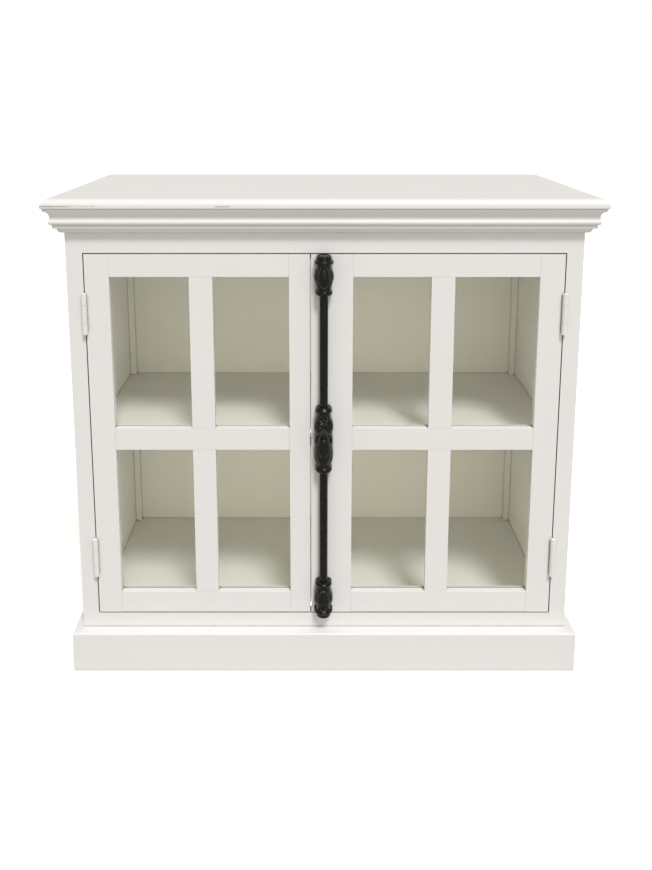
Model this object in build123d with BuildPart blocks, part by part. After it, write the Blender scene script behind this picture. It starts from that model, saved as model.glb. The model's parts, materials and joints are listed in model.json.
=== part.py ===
# Glazed two-door casement cabinet with a surface cremone bolt.
# Millimetres. X runs across the front, Y from the front to the back, Z up.
# The origin is on the floor, under the middle of the cabinet's bounding box.

import os
from math import pi

from build123d import *

os.makedirs("parts", exist_ok=True)

# ---- driving dimensions -------------------------------------------------------

total_height = 914.0
case_width = 930.0
top_depth = 488.0
top_thickness = 17.5
top_overhang = 32.5        # past the face frame and past both sides
knob_reach = 41.0          # from the face frame out to the front of the knob

side_thickness = 20.0
frame_thickness = 22.0
frame_stile = 30.0
opening_bottom = 106.5
opening_top = 813.5
inside_depth = 410.0       # from the face frame's front to the back panel
back_thickness = 9.0
rear_frame = 14.0          # rails behind the back panel
post_width = 12.5
post_depth = 14.0

floor_top = 92.0
shelf_top = 455.0
board_thickness = 18.0
shelf_setback = 26.0       # shelf front edge behind the face frame's front
cleat = 18.0
stretcher_depth = 60.0

plinth_height = 78.0
plinth_front = 25.0
plinth_side = 16.0
plinth_round = 3.0
bed_bottom = 851.0
crown_bottom = 867.0

door_gap = 2.0
door_thickness = 21.6
meeting_line = -25.4
door_stile = 44.0
left_meeting_stile = 38.0
bolt_stile = 76.0
bottom_rail = 43.0
middle_rail = 42.6
middle_rail_centre = 461.0
top_rail = 42.0
bar_width = 42.8
left_bar_centre = -224.0
right_bar_centre = 214.7
tenon_length = 22.0
tenon_thickness = 7.0
tenon_shoulder = 5.0
glass_setback = 13.5
glass_thickness = 3.0
rebate = 7.0

hinge_height = 75.0
hinge_centres = (225.0, 702.0)
knuckle_radius = 5.0
pin_radius = 2.5
centre_knuckle = 34.0
leaf_thickness = 1.9
leaf_width = 18.0
hinge_reach = 5.5          # hinge axis in front of the face frame
hinge_axis = 434.5         # hinge axis from the middle of the cabinet
knuckle_gap = 0.3

bolt_centre = -1.3
rod_radius = 7.7
rod_reach = 12.0           # rod axis in front of the face
rod_clearance = 0.35
guide_height = 73.0
casting_bottom = 402.0
casting_top = 529.0
knob_height = 456.0
pitch_radius = 5.0
pinion_teeth = 16
throw = pitch_radius * pi  # rod travel for half a turn of the knob
tongue_width = 12.0
tongue_thickness = 6.0
tongue_setback = 3.0       # tongue's front behind the face
slot_clearance = 0.5

# ---- worked-out places --------------------------------------------------------

top_back = (knob_reach + top_depth - top_overhang) / 2
face = top_back - (top_depth - top_overhang)
top_front = face - top_overhang
half_case = case_width / 2
inner_side = half_case - side_thickness
frame_back = face + frame_thickness
back_front = face + inside_depth
back_rear = back_front + back_thickness
case_back = back_rear + rear_frame
slab_bottom = total_height - top_thickness
floor_bottom = floor_top - board_thickness
shelf_bottom = shelf_top - board_thickness
stretcher_bottom = slab_bottom - board_thickness
post_front = back_front - post_depth
post_inner = inner_side - post_width
opening_side = half_case - frame_stile

door_bottom = opening_bottom + door_gap
door_top = opening_top - door_gap
door_outer = opening_side - door_gap
left_meeting = meeting_line - door_gap / 2
right_meeting = meeting_line + door_gap / 2
door_back = face + door_thickness
glass_front = face + glass_setback
glass_back = glass_front + glass_thickness
middle_low = middle_rail_centre - middle_rail / 2
middle_high = middle_rail_centre + middle_rail / 2
bottom_rail_top = door_bottom + bottom_rail
top_rail_bottom = door_top - top_rail
rod_axis = face - rod_reach


def save(piece, name):
    piece.part.label = name
    export_step(piece.part, "parts/" + name + ".step")


def board(x0, x1, y0, y1, z0, z1):
    with BuildPart() as piece:
        with BuildSketch(Plane.XY.offset(z0)):
            with Locations(((x0 + x1) / 2, (y0 + y1) / 2)):
                Rectangle(x1 - x0, y1 - y0)
        extrude(amount=z1 - z0)
    return piece


def cut(piece, *tools):
    with BuildPart() as shaped:
        add(piece.part)
        for tool in tools:
            add(tool.part, mode=Mode.SUBTRACT)
    return shaped


def group(solids):
    with BuildPart() as gathered:
        for solid in solids:
            add(solid.part)
    return gathered


def mirrored(piece):
    with BuildPart() as other:
        mirror(piece.part, about=Plane.YZ)
    return other


# ---- screws -------------------------------------------------------------------

screw_head = 3.6
screw_shank = 1.7
screw_length = 13.0
head_depth = 1.9
drive_width = 0.9
drive_depth = 0.7


# A countersunk slotted screw whose head is flush at the point, driven along the direction.
def screw(point, direction, length=screw_length):
    seat = Plane(origin=point, z_dir=direction)
    with BuildPart() as one:
        with BuildSketch(seat):
            Circle(screw_head)
        with BuildSketch(seat.offset(head_depth)):
            Circle(screw_shank)
        loft()
        with BuildSketch(seat):
            Circle(screw_shank)
        extrude(amount=length)
        with BuildSketch(seat):
            Rectangle(2 * screw_head, drive_width)
        extrude(amount=drive_depth, mode=Mode.SUBTRACT)
    return one


# The solid that a screw fills, slot included, for cutting its hole.
def screw_hole(point, direction, length=screw_length):
    seat = Plane(origin=point, z_dir=direction)
    with BuildPart() as hole:
        with BuildSketch(seat):
            Circle(screw_head)
        with BuildSketch(seat.offset(head_depth)):
            Circle(screw_shank)
        loft()
        with BuildSketch(seat):
            Circle(screw_shank)
        extrude(amount=length)
    return hole


# ---- case boards --------------------------------------------------------------

with BuildPart() as top_board:
    with BuildSketch(Plane.XY.offset(slab_bottom)):
        with Locations((0, (top_front + top_back) / 2)):
            Rectangle(case_width + 2 * top_overhang, top_depth)
    extrude(amount=top_thickness)
    upper_rim = top_board.faces().sort_by(Axis.Z)[-1].edges().sort_by(Axis.Y)[:-1]
    fillet(upper_rim, radius=13.0)
    lower_rim = top_board.faces().sort_by(Axis.Z)[0].edges().sort_by(Axis.Y)[:-1]
    fillet(lower_rim, radius=2.5)
save(top_board, "top_board")

right_side_panel = board(inner_side, half_case, frame_back, case_back, 0, slab_bottom)
save(right_side_panel, "right_side_panel")
save(mirrored(right_side_panel), "left_side_panel")

bottom_board = board(-inner_side, inner_side, frame_back, back_front, floor_bottom, floor_top)
save(bottom_board, "bottom_board")

back_panel = board(-inner_side, inner_side, back_front, back_rear, floor_bottom, slab_bottom)
save(back_panel, "back_panel")

right_rear_post = board(post_inner, inner_side, post_front, back_front, floor_top, stretcher_bottom)
left_rear_post = mirrored(right_rear_post)
save(right_rear_post, "right_rear_post")
save(left_rear_post, "left_rear_post")

shelf = cut(
    board(-inner_side, inner_side, face + shelf_setback, back_front, shelf_bottom, shelf_top),
    right_rear_post,
    left_rear_post,
)
save(shelf, "shelf")

cleat_front = face + shelf_setback + cleat
right_cleat = board(
    inner_side - cleat, inner_side, cleat_front, post_front, shelf_bottom - cleat, shelf_bottom)
save(group([right_cleat, mirrored(right_cleat)]), "shelf_cleats")

rear_rail_height = 60.0
save(board(-inner_side, inner_side, back_rear, case_back, slab_bottom - rear_rail_height, slab_bottom),
     "rear_top_rail")
save(board(-inner_side, inner_side, back_rear, case_back, floor_bottom, floor_bottom + rear_rail_height),
     "rear_bottom_rail")

stop_depth = 16.0
stop_height = 40.0
front_stretcher = board(
    -inner_side, inner_side, frame_back, frame_back + stretcher_depth, stretcher_bottom, slab_bottom)
rear_stretcher = board(
    -inner_side, inner_side, back_front - stretcher_depth, back_front, stretcher_bottom, slab_bottom)
save(group([front_stretcher, rear_stretcher]), "top_stretchers")

# The strip that the closed doors come to rest against.
door_stop = board(
    -inner_side, inner_side, frame_back, frame_back + stop_depth, opening_top - 12.0,
    opening_top - 12.0 + stop_height)
save(door_stop, "door_stop")

# ---- mouldings ----------------------------------------------------------------

# Each profile is drawn with X out from the case and Y up from the floor.
with BuildSketch() as crown_profile:
    with BuildLine():
        Polyline((0, slab_bottom), (0, crown_bottom), (19.5, crown_bottom))
        ThreePointArc((19.5, crown_bottom), (22.0, 871.0), (20.6, 875.5))
        ThreePointArc((20.6, 875.5), (19.8, 881.5), (23.0, 889.0))
        Line((23.0, 889.0), (24.4, 890.0))
        ThreePointArc((24.4, 890.0), (28.3, 892.0), (29.2, slab_bottom))
        Line((29.2, slab_bottom), (0, slab_bottom))
    make_face()

with BuildSketch() as bed_profile:
    with BuildLine():
        Polyline((16.8, crown_bottom), (0, crown_bottom), (0, bed_bottom), (3.8, bed_bottom))
        ThreePointArc((3.8, bed_bottom), (8.4, 853.8), (10.3, 858.9))
        Polyline((10.3, 858.9), (16.2, 859.9), (16.8, 861.0), (16.8, crown_bottom))
    make_face()

with BuildSketch() as plinth_front_profile:
    with Locations((plinth_front / 2, plinth_height / 2)):
        Rectangle(plinth_front, plinth_height)
    fillet(plinth_front_profile.vertices().group_by(Axis.X)[-1].sort_by(Axis.Y)[-1], radius=plinth_round)

with BuildSketch() as plinth_side_profile:
    with Locations((plinth_side / 2, plinth_height / 2)):
        Rectangle(plinth_side, plinth_height)
    fillet(plinth_side_profile.vertices().group_by(Axis.X)[-1].sort_by(Axis.Y)[-1], radius=plinth_round)


# The length across the front, mitred to meet the two sides.
def front_moulding(profile, reach_front, reach_side):
    outer = half_case + reach_side
    with BuildPart() as piece:
        with BuildSketch(Plane(origin=(outer, face, 0), x_dir=(0, -1, 0), z_dir=(-1, 0, 0))):
            add(profile.sketch)
        extrude(amount=2 * outer)
        with BuildSketch(Plane.XY):
            with BuildLine():
                Polyline(
                    (-half_case, face), (half_case, face), (outer, face - reach_front),
                    (-outer, face - reach_front), close=True)
            make_face()
        extrude(amount=total_height, mode=Mode.INTERSECT)
    return piece


# The length along the right side, mitred at its front end.
def side_moulding(profile, reach_front, reach_side):
    outer = half_case + reach_side
    with BuildPart() as piece:
        with BuildSketch(Plane(origin=(half_case, case_back, 0), x_dir=(1, 0, 0), z_dir=(0, -1, 0))):
            add(profile.sketch)
        extrude(amount=case_back - face + reach_front)
        with BuildSketch(Plane.XY):
            with BuildLine():
                Polyline(
                    (half_case, face), (outer, face - reach_front), (outer, case_back),
                    (half_case, case_back), close=True)
            make_face()
        extrude(amount=total_height, mode=Mode.INTERSECT)
    return piece


moulding_reach = 40.0      # mitre line carried past the widest moulding
for name, profile in (("crown", crown_profile), ("bed", bed_profile)):
    side = side_moulding(profile, moulding_reach, moulding_reach)
    save(front_moulding(profile, moulding_reach, moulding_reach), name + "_front")
    save(side, name + "_right")
    save(mirrored(side), name + "_left")

plinth_right = side_moulding(plinth_side_profile, plinth_front, plinth_side)
save(front_moulding(plinth_front_profile, plinth_front, plinth_side), "plinth_front")
save(plinth_right, "plinth_right")
save(mirrored(plinth_right), "plinth_left")

plinth_back = board(-inner_side, inner_side, case_back - board_thickness, case_back, 0, floor_bottom)
save(plinth_back, "plinth_back")


# ---- face frame ---------------------------------------------------------------

# Hinge leaves stand half in the gap and half let into the wood.
frame_leaf_outer = opening_side + 1.0
frame_leaf_inner = frame_leaf_outer - leaf_thickness
door_leaf_inner = door_outer - 1.0
door_leaf_outer = door_leaf_inner + leaf_thickness
screw_spacing = 26.0
leaf_screw_y = face + leaf_width * 0.58


def hinge_recess(x0, x1):
    return [
        board(x0, x1, face, face + leaf_width, centre - hinge_height / 2, centre + hinge_height / 2)
        for centre in hinge_centres
    ]


# Screw places on a leaf, from the middle of the hinge.
def leaf_screws(maker, x, direction):
    return [
        maker((x, leaf_screw_y, centre + step * screw_spacing), direction)
        for centre in hinge_centres
        for step in (-1, 0, 1)
    ]


right_face_stile = cut(
    board(opening_side, half_case, face, frame_back, 0, slab_bottom),
    *hinge_recess(opening_side, frame_leaf_outer),
    *leaf_screws(screw_hole, frame_leaf_inner, (1, 0, 0)),
)
save(right_face_stile, "right_face_stile")
save(mirrored(right_face_stile), "left_face_stile")

mortise_front = face + tongue_setback - slot_clearance
mortise_back = face + tongue_setback + tongue_thickness + slot_clearance
mortise_half = tongue_width / 2 + slot_clearance
mortise_depth = 15.0
plate_thickness = 2.0
plate_half = 23.0
plate_front = face + 1.5
plate_back = face + 17.5
plate_screw_offset = 15.0


# One strike plate lies in the underside of the top rail, the other in the bottom rail.
def strike_plate(z0, z1):
    return board(bolt_centre - plate_half, bolt_centre + plate_half, plate_front, plate_back, z0, z1)


def mortise(z0, z1):
    return board(
        bolt_centre - mortise_half, bolt_centre + mortise_half, mortise_front, mortise_back, z0, z1)


def plate_screws(maker, z, direction):
    return [
        maker((bolt_centre + side * plate_screw_offset, (plate_front + plate_back) / 2, z), direction)
        for side in (-1, 1)
    ]


top_mortise = mortise(opening_top, opening_top + mortise_depth)
bottom_mortise = mortise(opening_bottom - mortise_depth, opening_bottom)
top_plate_space = strike_plate(opening_top, opening_top + plate_thickness)
bottom_plate_space = strike_plate(opening_bottom - plate_thickness, opening_bottom)

top_face_rail = cut(
    board(-opening_side, opening_side, face, frame_back, opening_top, slab_bottom),
    top_plate_space,
    top_mortise,
    *plate_screws(screw_hole, opening_top, (0, 0, 1)),
)
save(top_face_rail, "top_face_rail")

bottom_face_rail = cut(
    board(-opening_side, opening_side, face, frame_back, 0, opening_bottom),
    bottom_plate_space,
    bottom_mortise,
    *plate_screws(screw_hole, opening_bottom, (0, 0, -1)),
)
save(bottom_face_rail, "bottom_face_rail")

top_plate = cut(top_plate_space, top_mortise, *plate_screws(screw_hole, opening_top, (0, 0, 1)))
bottom_plate = cut(bottom_plate_space, bottom_mortise, *plate_screws(screw_hole, opening_bottom, (0, 0, -1)))
save(group([top_plate, bottom_plate]), "strike_plates")

# Triangular blocks stiffen the plinth's four corners under the bottom board.
block_leg = 45.0
block_bottom = 10.0


def corner_block(y, towards):
    with BuildPart() as block:
        with BuildSketch(Plane.XY.offset(block_bottom)):
            with BuildLine():
                Polyline(
                    (inner_side, y), (inner_side - block_leg, y),
                    (inner_side, y + towards * block_leg), close=True)
            make_face()
        extrude(amount=floor_bottom - block_bottom)
    return block


right_blocks = group([corner_block(frame_back, 1), corner_block(case_back - board_thickness, -1)])
save(group([right_blocks, mirrored(right_blocks)]), "corner_blocks")


# ---- hinges -------------------------------------------------------------------

hinge_y = face - hinge_reach


def knuckle(z0, z1, bore):
    with BuildPart() as tube:
        with BuildSketch(Plane.XY.offset(z0)):
            with Locations((hinge_axis, hinge_y)):
                Circle(knuckle_radius)
                Circle(bore, mode=Mode.SUBTRACT)
        extrude(amount=z1 - z0)
    return tube


# One leaf of a hinge on the right side: its plate, and a neck to each of its knuckles.
def hinge_leaf(centre, x0, x1, spans, bore):
    with BuildPart() as leaf:
        add(board(x0, x1, face, face + leaf_width, centre - hinge_height / 2, centre + hinge_height / 2).part)
        for low, high in spans:
            add(board(x0, x1, hinge_y, face, centre + low, centre + high).part)
            add(knuckle(centre + low, centre + high, bore).part)
        for low, high in spans:
            with BuildSketch(Plane.XY.offset(centre + low)):
                with Locations((hinge_axis, hinge_y)):
                    Circle(bore)
            extrude(amount=high - low, mode=Mode.SUBTRACT)
    return leaf


half_knuckle = centre_knuckle / 2
outer_spans = (
    (-hinge_height / 2, -half_knuckle - knuckle_gap),
    (half_knuckle + knuckle_gap, hinge_height / 2),
)
centre_spans = ((-half_knuckle, half_knuckle),)
running_bore = pin_radius + 0.05

frame_leaf_holes = leaf_screws(screw_hole, frame_leaf_inner, (1, 0, 0))
door_leaf_holes = leaf_screws(screw_hole, door_leaf_outer, (-1, 0, 0))
plain_frame_leaves = [
    hinge_leaf(centre, frame_leaf_inner, frame_leaf_outer, outer_spans, pin_radius)
    for centre in hinge_centres
]
plain_door_leaves = [
    hinge_leaf(centre, door_leaf_inner, door_leaf_outer, centre_spans, running_bore)
    for centre in hinge_centres
]
right_frame_leaves = cut(group(plain_frame_leaves), *frame_leaf_holes)
right_door_leaves = cut(group(plain_door_leaves), *door_leaf_holes)
save(group([right_frame_leaves, mirrored(right_frame_leaves)]), "frame_hinge_leaves")
save(right_door_leaves, "right_door_hinge_leaves")
save(mirrored(right_door_leaves), "left_door_hinge_leaves")

pin_head = 1.6             # low tapered head past each end of the barrel
pin_head_radius = 3.6


def hinge_pin(centre):
    half = hinge_height / 2
    with BuildPart() as pin:
        with BuildSketch(Plane.XY.offset(centre - half)):
            with Locations((hinge_axis, hinge_y)):
                Circle(pin_radius)
        extrude(amount=hinge_height)
        for end, outward in ((centre + half, 1), (centre - half, -1)):
            with BuildSketch(Plane(origin=(hinge_axis, hinge_y, end), z_dir=(0, 0, outward))):
                Circle(pin_head_radius)
            tip = end + outward * pin_head
            with BuildSketch(Plane(origin=(hinge_axis, hinge_y, tip), z_dir=(0, 0, outward))):
                Circle(pin_head_radius / 2)
            loft()
    return pin


right_pins = group([hinge_pin(centre) for centre in hinge_centres])
save(group([right_pins, mirrored(right_pins)]), "hinge_pins")

right_frame_screws = group(leaf_screws(screw, frame_leaf_inner, (1, 0, 0)))
strike_screws = group(
    plate_screws(screw, opening_top, (0, 0, 1)) + plate_screws(screw, opening_bottom, (0, 0, -1)))
save(group([right_frame_screws, mirrored(right_frame_screws), strike_screws]), "frame_screws")


# ---- doors --------------------------------------------------------------------

rebate_back = door_back + 1.0
bead_height = 6.0
bead_joint = 0.1           # open joint where an upright bead meets a level one


# A rail or bar with a tenon at each end, between x0 and x1.
def rail_tenons(x0, x1, z0, z1):
    front = face + 3.0
    back = front + tenon_thickness
    low = z0 + tenon_shoulder
    high = z1 - tenon_shoulder
    return [
        board(x0 - tenon_length, x0, front, back, low, high),
        board(x1, x1 + tenon_length, front, back, low, high),
    ]


# The rebate cut from the back round each glass opening.
def pane_rebates(openings):
    return [
        board(x0 - rebate, x1 + rebate, glass_front, rebate_back, z0 - rebate, z1 + rebate)
        for x0, x1, z0, z1 in openings
    ]


# Four glazing beads behind each pane, the upright ones between the level ones.
def pane_beads(openings):
    beads = []
    for x0, x1, z0, z1 in openings:
        low, high = z0 - rebate, z1 + rebate
        left, right = x0 - rebate, x1 + rebate
        beads.append(board(left, right, glass_back, door_back, low, low + bead_height))
        beads.append(board(left, right, glass_back, door_back, high - bead_height, high))
        upright_low = low + bead_height + bead_joint
        upright_high = high - bead_height - bead_joint
        beads.append(board(left, left + bead_height, glass_back, door_back, upright_low, upright_high))
        beads.append(board(right - bead_height, right, glass_back, door_back, upright_low, upright_high))
    return beads


def pane_glass(openings):
    return [
        board(x0 - rebate, x1 + rebate, glass_front, glass_back, z0 - rebate, z1 + rebate)
        for x0, x1, z0, z1 in openings
    ]


# All the wooden, glass and bead pieces of one door. The stiles run full height,
# the rails are tenoned into them, and the bars stand between the rails.
def build_door(name, x0, x1, stile0, stile1, bar_centre, stile_cuts0, stile_cuts1):
    in0 = x0 + stile0
    in1 = x1 - stile1
    bar0 = bar_centre - bar_width / 2
    bar1 = bar_centre + bar_width / 2
    openings = [
        (a, b, low, high)
        for a, b in ((in0, bar0), (bar1, in1))
        for low, high in ((bottom_rail_top, middle_low), (middle_high, top_rail_bottom))
    ]
    rebates = pane_rebates(openings)
    rails = {
        "bottom_rail": (door_bottom, bottom_rail_top),
        "middle_rail": (middle_low, middle_high),
        "top_rail": (top_rail_bottom, door_top),
    }
    tenons = [tenon for low, high in rails.values() for tenon in rail_tenons(in0, in1, low, high)]
    left_stile = cut(
        board(x0, in0, face, door_back, door_bottom, door_top), *rebates, *tenons, *stile_cuts0)
    right_stile = cut(
        board(in1, x1, face, door_back, door_bottom, door_top), *rebates, *tenons, *stile_cuts1)
    for rail_name, (low, high) in rails.items():
        with BuildPart() as rail:
            add(cut(board(in0, in1, face, door_back, low, high), *rebates).part)
            for tenon in rail_tenons(in0, in1, low, high):
                add(tenon.part)
        save(rail, name + "_door_" + rail_name)
    bars = [
        cut(board(bar0, bar1, face, door_back, low, high), *rebates)
        for low, high in ((bottom_rail_top, middle_low), (middle_high, top_rail_bottom))
    ]
    save(group(bars), name + "_door_bars")
    save(group(pane_glass(openings)), name + "_door_glass")
    save(group(pane_beads(openings)), name + "_door_beads")
    return left_stile, right_stile


def left_of(pieces):
    return [mirrored(piece) for piece in pieces]


right_hinge_cuts = hinge_recess(door_leaf_inner, door_outer) + door_leaf_holes

left_hinge_stile, left_meeting_piece = build_door(
    "left", -door_outer, left_meeting, door_stile, left_meeting_stile, left_bar_centre,
    left_of(right_hinge_cuts), [])
save(left_hinge_stile, "left_door_hinge_stile")
save(left_meeting_piece, "left_door_meeting_stile")

# ---- cremone bolt -------------------------------------------------------------

# Half outline of an end guide, as radius against height over its collar end.
guide_outline = [
    (10.6, 0.0), (13.9, 1.9), (15.5, 4.6), (14.9, 7.2), (12.6, 9.0), (12.4, 13.0), (14.4, 22.0), (17.6, 33.0),
    (16.6, 41.0), (13.0, 49.5), (12.4, 54.0), (13.6, 57.0), (17.0, 59.0), (17.0, 61.5), (14.0, 64.0),
    (13.2, 70.0), (11.6, guide_height),
]
# Half outline of the centre casting, as radius against height over the floor.
centre_outline = [
    (10.6, casting_bottom), (13.8, 404.2), (15.4, 407.6), (14.9, 411.4), (12.6, 414.0), (13.4, 419.0),
    (16.4, 428.0), (17.4, 438.0), (16.9, 448.0), (16.7, 454.0), (17.5, 463.0), (16.6, 472.0),
    (15.6, 478.0), (17.0, 484.0), (17.5, 490.0), (16.4, 499.0), (13.0, 507.0), (12.6, 514.0),
    (13.4, 518.0), (15.0, 520.4), (15.5, 522.6), (13.8, 525.6), (10.6, casting_top),
]


# A casting with a rounded front and a flat back against the face: the turned
# outline, and the same outline carried straight back to the face.
def casting(outline, base):
    low = base + outline[0][1]
    high = base + outline[-1][1]
    right_edge = [(r, base + z) for r, z in outline]
    left_edge = [(-r, base + z) for r, z in reversed(outline)]
    front_view = Plane(origin=(bolt_centre, rod_axis, 0), x_dir=(1, 0, 0), z_dir=(0, -1, 0))
    with BuildPart() as turned:
        with BuildSketch(front_view):
            with BuildLine():
                Spline(right_edge)
                Polyline(right_edge[-1], (0, high), (0, low), right_edge[0])
            make_face()
        revolve(axis=Axis((bolt_centre, rod_axis, 0), (0, 0, 1)))
        split(bisect_by=Plane(origin=(0, rod_axis, 0), z_dir=(0, -1, 0)), keep=Keep.TOP)
    with BuildPart() as body:
        with BuildSketch(front_view):
            with BuildLine():
                Spline(right_edge)
                Line(right_edge[-1], left_edge[0])
                Spline(left_edge)
                Line(left_edge[-1], right_edge[0])
            make_face()
        extrude(amount=-rod_reach)
        add(turned.part)
    return body


def round_bar(radius, z0, z1):
    with BuildPart() as bar:
        with BuildSketch(Plane.XY.offset(z0)):
            with Locations((bolt_centre, rod_axis)):
                Circle(radius)
        extrude(amount=z1 - z0)
    return bar


crank_low = door_top - 51.5
crank_high = crank_low + 10.0
tongue_end = door_top - 1.0
groove_low = crank_low - 4.0
guide_low = door_top - guide_height
upper_bore_top = crank_high + throw + 3.0
slot_half = tongue_width / 2 + slot_clearance
bore_radius = rod_radius + rod_clearance
middle_height = (door_top + door_bottom) / 2


# The lower guide, groove and rod end repeat the upper ones upside down.
def turned_down(piece):
    with BuildPart() as other:
        mirror(piece.part, about=Plane.XY.offset(middle_height))
    return other


# The castings are held by long screws driven from the back of the door.
casting_screw_length = 27.0
casting_screw_side = 10.4


def casting_screws(maker, *heights):
    return [
        maker((bolt_centre + side * casting_screw_side, door_back, z), (0, -1, 0), casting_screw_length)
        for z in heights
        for side in (-1, 1)
    ]


guide_screw_height = guide_low + 33.0
bolt_screw_heights = (
    guide_screw_height, 2 * middle_height - guide_screw_height, casting_bottom + 32.0, casting_top - 39.0)
bolt_holes = casting_screws(screw_hole, *bolt_screw_heights)

guide_shell = cut(
    casting(guide_outline, guide_low),
    round_bar(bore_radius, guide_low - 1, upper_bore_top),
    board(bolt_centre - slot_half, bolt_centre + slot_half, rod_axis, face, groove_low, upper_bore_top),
)
save(cut(guide_shell, *bolt_holes), "bolt_top_guide")
save(cut(turned_down(guide_shell), *bolt_holes), "bolt_bottom_guide")

# The upright groove in the wide stile that a tongue runs in.
groove = board(bolt_centre - slot_half, bolt_centre + slot_half, face, mortise_back, groove_low, door_top)

shaft_radius = 4.0
shaft_end_radius = 2.4
pinion_half = 3.0
window_half = 6.2


# A round bar along Y, in line with the knob.
def knob_bar(radius, y0, y1):
    with BuildPart() as bar:
        with BuildSketch(Plane(origin=(bolt_centre, y1, knob_height), x_dir=(1, 0, 0), z_dir=(0, -1, 0))):
            Circle(radius)
        extrude(amount=y1 - y0)
    return bar


# The centre casting is bored through for the rods, open behind the pinion.
centre_casting = cut(
    casting(centre_outline, 0),
    round_bar(bore_radius, casting_bottom - 1, casting_top + 1),
    knob_bar(shaft_radius + 0.05, face - knob_reach, rod_axis),
    board(bolt_centre - window_half, bolt_centre + window_half, rod_axis, face,
          knob_height - window_half, knob_height + window_half),
    *bolt_holes,
)
save(centre_casting, "bolt_centre_casting")
save(group(casting_screws(screw, *bolt_screw_heights)), "bolt_screws")

# Rack and pinion teeth share one pitch, a tooth and its space.
tooth_pitch = 2 * pi * pitch_radius / pinion_teeth
tooth_module = tooth_pitch / pi
addendum = 0.9 * tooth_module
dedendum = 1.2 * tooth_module
tooth_root = 0.60 * tooth_pitch    # width at the root
tooth_tip = 0.20 * tooth_pitch     # width at the tip
outer_radius = pitch_radius + addendum
root_radius = pitch_radius - dedendum

with BuildPart() as bolt_pinion:
    with BuildSketch(Plane(origin=(bolt_centre, rod_axis, knob_height), x_dir=(1, 0, 0), z_dir=(0, -1, 0))):
        Circle(root_radius)
        with PolarLocations(0, pinion_teeth):
            Polygon(
                (root_radius * 0.9, -tooth_root / 2), (root_radius, -tooth_root / 2),
                (outer_radius, -tooth_tip / 2), (outer_radius, tooth_tip / 2),
                (root_radius, tooth_root / 2), (root_radius * 0.9, tooth_root / 2), align=None)
        Circle(shaft_end_radius, mode=Mode.SUBTRACT)
    extrude(amount=pinion_half, both=True)
save(bolt_pinion, "bolt_pinion")

knob_neck = 5.5
knob_thickness = 10.5
knob_half_width = 10.6
knob_half_height = 19.0
knob_round = 4.4
casting_front = rod_axis - 16.9    # the casting's front where the knob stands

with BuildPart() as bolt_knob:
    with BuildSketch(Plane(
            origin=(bolt_centre, face - knob_reach + knob_thickness, knob_height), x_dir=(1, 0, 0),
            z_dir=(0, -1, 0))):
        Ellipse(knob_half_width, knob_half_height)
    extrude(amount=knob_thickness)
    fillet(bolt_knob.edges(), radius=knob_round)
    add(knob_bar(knob_neck, face - knob_reach + knob_thickness - 1, casting_front - 0.5).part)
    add(knob_bar(shaft_radius, face - knob_reach + knob_thickness, rod_axis - pinion_half - 0.2).part)
    add(knob_bar(shaft_end_radius, rod_axis - pinion_half - 1, rod_axis + pinion_half).part)
save(bolt_knob, "bolt_knob")

rack_spare = 5.0                       # rack past the pinion at each end of the travel
rack_face = pitch_radius + dedendum    # the rack's root line, out from the pinion's centre
rack_reach = throw + rack_spare
rack_tooth_half = pinion_half + 1.0
rack_join = 0.4


# One rod for the upward side: its lower end is milled to a rack that passes on the
# right of the pinion, and a tongue is cranked back from its upper end into the door.
# The reach is from the pinion's centre to the tongue's tip.
def rod(reach):
    low = knob_height - rack_reach
    high = knob_height + rack_reach + 2.0
    tip = knob_height + reach
    bar_top = tip - (tongue_end - crank_high)
    crank_bottom = bar_top - (crank_high - crank_low)
    tongue_front = face + tongue_setback
    tongue_back = tongue_front + tongue_thickness
    tooth_steps = range(-int(rack_reach / tooth_pitch), 2)
    teeth_view = Plane(origin=(bolt_centre, rod_axis, knob_height), x_dir=(1, 0, 0), z_dir=(0, -1, 0))
    with BuildPart() as bar:
        add(round_bar(rod_radius, low, bar_top).part)
        add(board(bolt_centre - rod_radius - 1, bolt_centre + rack_face, rod_axis - rod_radius - 1,
                  rod_axis + rod_radius + 1, low - 1, high).part, mode=Mode.SUBTRACT)
        with BuildSketch(teeth_view):
            # a space of the rack faces a tooth of the pinion
            with Locations(*[(0, (step + 0.5) * tooth_pitch) for step in tooth_steps]):
                Polygon(
                    (rack_face + rack_join, -tooth_root / 2), (rack_face, -tooth_root / 2),
                    (pitch_radius - addendum, -tooth_tip / 2), (pitch_radius - addendum, tooth_tip / 2),
                    (rack_face, tooth_root / 2), (rack_face + rack_join, tooth_root / 2), align=None)
        extrude(amount=rack_tooth_half, both=True)
        add(board(bolt_centre - tongue_width / 2, bolt_centre + tongue_width / 2, rod_axis, tongue_back,
                  crank_bottom, bar_top).part)
        add(board(bolt_centre - tongue_width / 2, bolt_centre + tongue_width / 2, tongue_front, tongue_back,
                  crank_bottom, tip).part)
    return bar


save(rod(tongue_end - knob_height), "bolt_upper_rod")

lower_reach = knob_height - (door_bottom + door_top - tongue_end)
half_turn = Axis((bolt_centre, 0, knob_height), (0, 1, 0))
with BuildPart() as bolt_lower_rod:
    add(rod(lower_reach).part.rotate(half_turn, 180))
save(bolt_lower_rod, "bolt_lower_rod")

# ---- right door ---------------------------------------------------------------

bolt_stile_piece, right_hinge_stile = build_door(
    "right", right_meeting, door_outer, bolt_stile, door_stile, right_bar_centre,
    [groove, turned_down(groove)] + bolt_holes, right_hinge_cuts)
save(bolt_stile_piece, "right_door_bolt_stile")
save(right_hinge_stile, "right_door_hinge_stile")

right_door_screws = group(leaf_screws(screw, door_leaf_outer, (-1, 0, 0)))
save(right_door_screws, "right_door_screws")
save(mirrored(right_door_screws), "left_door_screws")
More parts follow.
